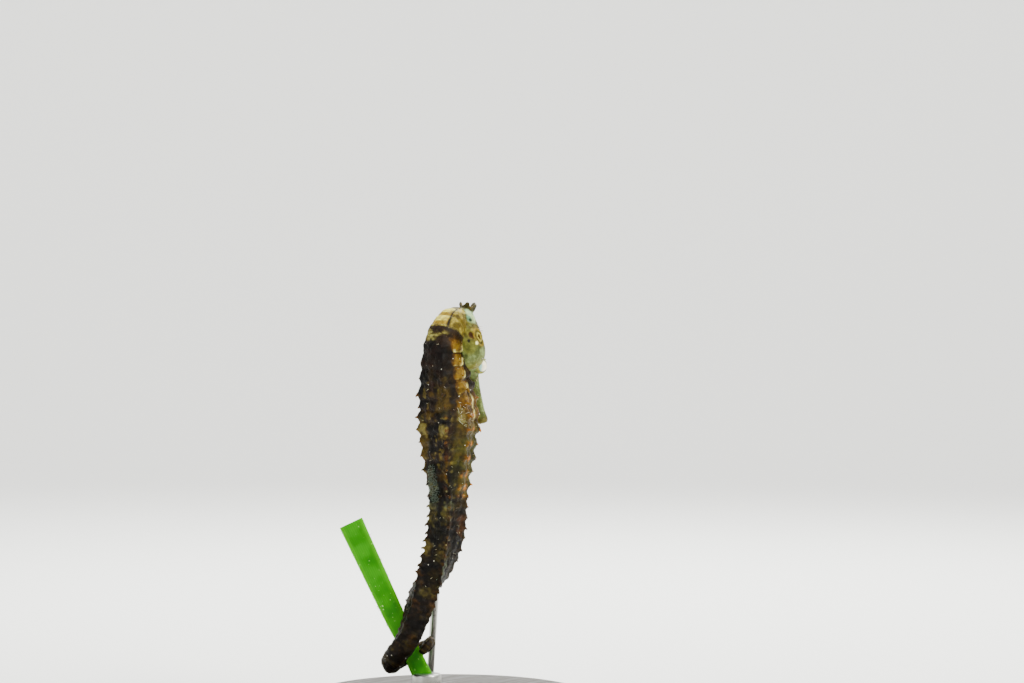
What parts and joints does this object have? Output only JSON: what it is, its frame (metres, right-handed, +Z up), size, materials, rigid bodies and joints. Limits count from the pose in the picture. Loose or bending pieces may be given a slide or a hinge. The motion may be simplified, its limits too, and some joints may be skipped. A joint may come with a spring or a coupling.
{
  "type": "seahorse",
  "caption": "Life-size upright spiny seahorse with its tail wrapped round a cut seagrass blade, on a round display stand.",
  "frame": {"origin": "middle of the base's flat underside", "axes": "+Z up along the trunk, +X the way the belly and the snout face, +Y to the animal's left"},
  "size_m": [0.07, 0.07, 0.1045],
  "materials": {
    "skin": "moist, ridged, mottled",
    "coronet": "rough, dark olive",
    "fin": "thin, rayed, see-through",
    "eye": "wet, domed",
    "blade": "satin leaf with fine veins",
    "stand_wood": "ebonised, satin",
    "stand_steel": "fine turned"
  },
  "bodies": {
    "root": {"head": "skin", "snout": "skin", "neck": "skin", "trunk_upper": "skin", "trunk_lower": "skin", "gill_cover_right": "skin", "gill_cover_left": "skin", "tail_1": "skin", "tail_2": "skin", "tail_3": "skin", "tail_4": "skin", "tail_5": "skin", "tail_6": "skin", "tail_7": "skin", "tail_tip": "skin", "coronet": "coronet", "dorsal_fin": "fin", "anal_fin": "fin", "pectoral_fin_right": "fin", "pectoral_fin_left": "fin", "eye_right": "eye", "eye_left": "eye", "perch_blade": "blade", "stand_base": "stand_wood", "stand_post": "stand_steel", "stand_rod": "stand_steel"}
  },
  "joints": []
}
